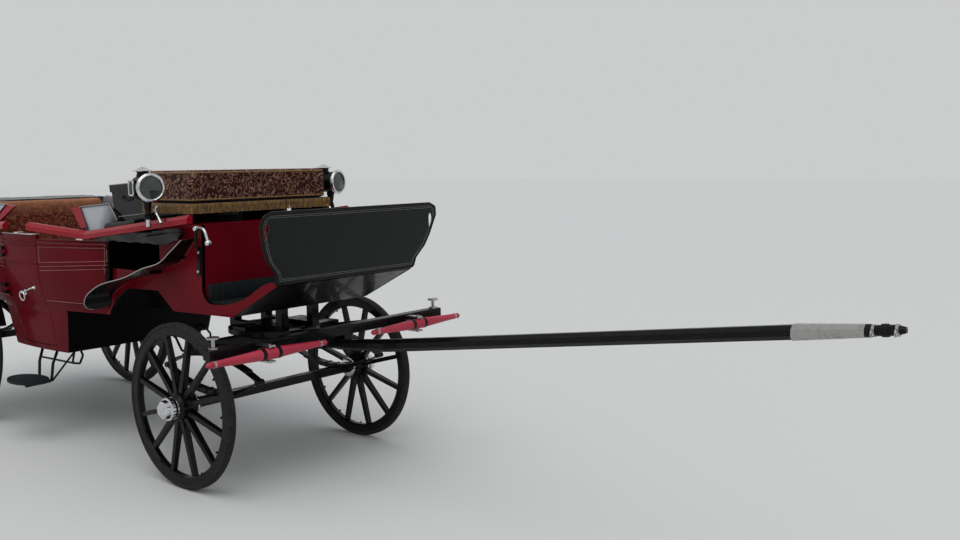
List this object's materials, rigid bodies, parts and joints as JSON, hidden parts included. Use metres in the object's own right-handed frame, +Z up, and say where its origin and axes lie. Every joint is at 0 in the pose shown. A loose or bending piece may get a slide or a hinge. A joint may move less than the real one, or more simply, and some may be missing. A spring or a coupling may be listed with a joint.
{
  "type": "horse-drawn carriage",
  "caption": "Four-wheeled open landau for a pair of horses, both leather heads folded, with pole, doors, lamps, steps and a driver's box seat",
  "frame": {"origin": "on the ground, below the middle of the overall length and width", "axes": "+X forwards along the pole, +Y to the carriage's left, +Z up"},
  "size_m": [6.8284, 1.79, 1.687],
  "materials": {
    "carmine_paint": "gloss",
    "rail_paint": "gloss",
    "trace_paint": "gloss",
    "black_enamel": "gloss",
    "patent_leather": "gloss",
    "seat_leather": "satin",
    "seat_velvet": "matte",
    "bullion_fringe": "matte",
    "bright_steel": "satin",
    "plated_chrome": "polished",
    "tyre_rubber": "matte",
    "mat_rubber": "matte",
    "varnished_ash": "satin",
    "lamp_glass": "gloss"
  },
  "bodies": {
    "body": {"body_shell": "carmine_paint", "door_hinge_irons": "black_enamel", "benches": "varnished_ash", "seat_cushion_rear": "seat_leather", "seat_cushion_front": "seat_leather", "seat_back_rear": "seat_leather", "seat_back_front": "seat_leather", "boot": "carmine_paint", "seat_box": "carmine_paint", "toe_board": "mat_rubber", "box_seat_frame": "black_enamel", "box_cushion": "seat_velvet", "seat_fall": "bullion_fringe", "dash_leather": "patent_leather", "dash_iron": "black_enamel", "head_rails_front": "rail_paint", "head_rails_rear": "rail_paint", "head_leather_front": "patent_leather", "head_leather_rear": "patent_leather", "locker": "patent_leather", "fenders_front": "patent_leather", "fenders_rear": "patent_leather", "lamps": "plated_chrome", "lamp_lenses": "lamp_glass", "lamp_irons": "black_enamel", "step_irons": "black_enamel", "step_treads": "mat_rubber", "axle_rear": "black_enamel", "springs_rear": "black_enamel", "rear_body_irons": "black_enamel", "turntable_upper": "black_enamel", "hand_brake": "plated_chrome"},
    "fore_carriage": {"axle_front": "black_enamel", "springs_front": "black_enamel", "turntable_lower": "black_enamel", "futchells": "black_enamel", "splinter_bar": "black_enamel", "draught_irons": "bright_steel", "pole": "black_enamel", "pole_sleeve": "bright_steel", "pole_head": "black_enamel"},
    "door_left": {"door_left": "carmine_paint", "door_handle_left": "plated_chrome"},
    "door_right": {"door_right": "carmine_paint", "door_handle_right": "plated_chrome"},
    "swingletree_left": {"swingletree_left": "trace_paint"},
    "swingletree_right": {"swingletree_right": "trace_paint"},
    "wheel_front_left": {"wheel_front_left": "black_enamel", "tyre_front_left": "tyre_rubber", "hub_cap_front_left": "plated_chrome"},
    "wheel_front_right": {"wheel_front_right": "black_enamel", "tyre_front_right": "tyre_rubber", "hub_cap_front_right": "plated_chrome"},
    "wheel_rear_left": {"wheel_rear_left": "black_enamel", "tyre_rear_left": "tyre_rubber", "hub_cap_rear_left": "plated_chrome"},
    "wheel_rear_right": {"wheel_rear_right": "black_enamel", "tyre_rear_right": "tyre_rubber", "hub_cap_rear_right": "plated_chrome"}
  },
  "joints": [
    {"name": "steering", "type": "hinge", "parent": "body", "child": "fore_carriage", "pos_m": [0.01, 0, 0.762], "axis": [0, 0, 1], "range_deg": [-60, 60]},
    {"name": "front_left_wheel_spin", "type": "hinge", "parent": "fore_carriage", "child": "wheel_front_left", "pos_m": [0.01, 0.63, 0.44], "axis": [0, 1, 0], "continuous": true},
    {"name": "front_right_wheel_spin", "type": "hinge", "parent": "fore_carriage", "child": "wheel_front_right", "pos_m": [0.01, -0.63, 0.44], "axis": [0, 1, 0], "continuous": true},
    {"name": "rear_left_wheel_spin", "type": "hinge", "parent": "body", "child": "wheel_rear_left", "pos_m": [-2.545, 0.63, 0.53], "axis": [0, 1, 0], "continuous": true},
    {"name": "rear_right_wheel_spin", "type": "hinge", "parent": "body", "child": "wheel_rear_right", "pos_m": [-2.545, -0.63, 0.53], "axis": [0, 1, 0], "continuous": true},
    {"name": "left_door_hinge", "type": "hinge", "parent": "body", "child": "door_left", "pos_m": [-1.895, 0.62429, 1.049], "axis": [0, 0, 1], "range_deg": [0, 85]},
    {"name": "left_swingletree_bolt", "type": "hinge", "parent": "fore_carriage", "child": "swingletree_left", "pos_m": [0.629, 0.53, 0.772], "axis": [0, 0, 1], "range_deg": [-8, 8]},
    {"name": "right_door_hinge", "type": "hinge", "parent": "body", "child": "door_right", "pos_m": [-1.895, -0.62429, 1.049], "axis": [0, 0, -1], "range_deg": [0, 85]},
    {"name": "right_swingletree_bolt", "type": "hinge", "parent": "fore_carriage", "child": "swingletree_right", "pos_m": [0.629, -0.53, 0.772], "axis": [0, 0, 1], "range_deg": [-8, 8]}
  ]
}
